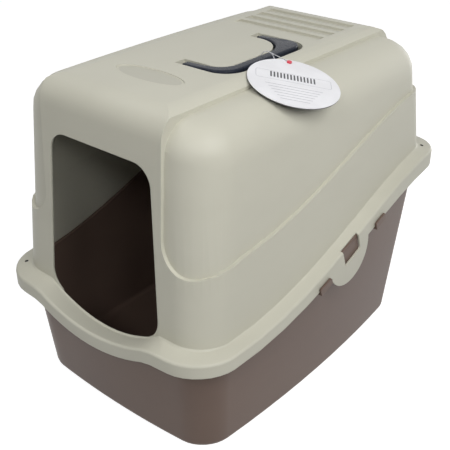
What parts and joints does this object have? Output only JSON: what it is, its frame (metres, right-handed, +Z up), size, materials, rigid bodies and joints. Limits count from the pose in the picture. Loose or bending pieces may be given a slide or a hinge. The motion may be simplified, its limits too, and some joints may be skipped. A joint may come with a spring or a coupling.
{
  "type": "hooded litter box",
  "caption": "Covered cat litter box: a deep pan under a lift-off hood with an arched doorway, a fold-flat carry handle sunk in the roof and a round hang tag",
  "frame": {"origin": "middle of the bounding box, on the floor that the pan stands on", "axes": "+Z up, the doorway faces -Y, +X is to the right seen from the front, the length runs along Y"},
  "size_m": [0.383, 0.533, 0.4362],
  "materials": {
    "pan_plastic": "satin, taupe brown",
    "hood_plastic": "satin, cream grey",
    "handle_plastic": "glossy, dark slate",
    "tag_card": "coated white card",
    "tag_leaf_card": "dark card",
    "nylon": "clear nylon with a red button"
  },
  "bodies": {
    "pan": {"pan": "pan_plastic"},
    "hood": {"hood": "hood_plastic"},
    "handle": {"carry_handle": "handle_plastic"},
    "tag": {"hang_tag": "tag_card", "tag_leaf": "tag_leaf_card", "tag_loop": "nylon"}
  },
  "joints": [
    {"name": "hood_lift", "type": "slide", "parent": "pan", "child": "hood", "axis": [0, 0, 1], "range_m": [0, 0.2]},
    {"name": "handle_swing", "type": "hinge", "parent": "hood", "child": "handle", "pos_m": [0.004, -0.017, 0.4214], "axis": [0, -1, 0], "range_deg": [0, 90]},
    {"name": "tag_swing", "type": "hinge", "parent": "handle", "child": "tag", "pos_m": [0.0635, -0.007, 0.42515], "axis": [0, -1, 0], "range_deg": [0, 90]}
  ]
}
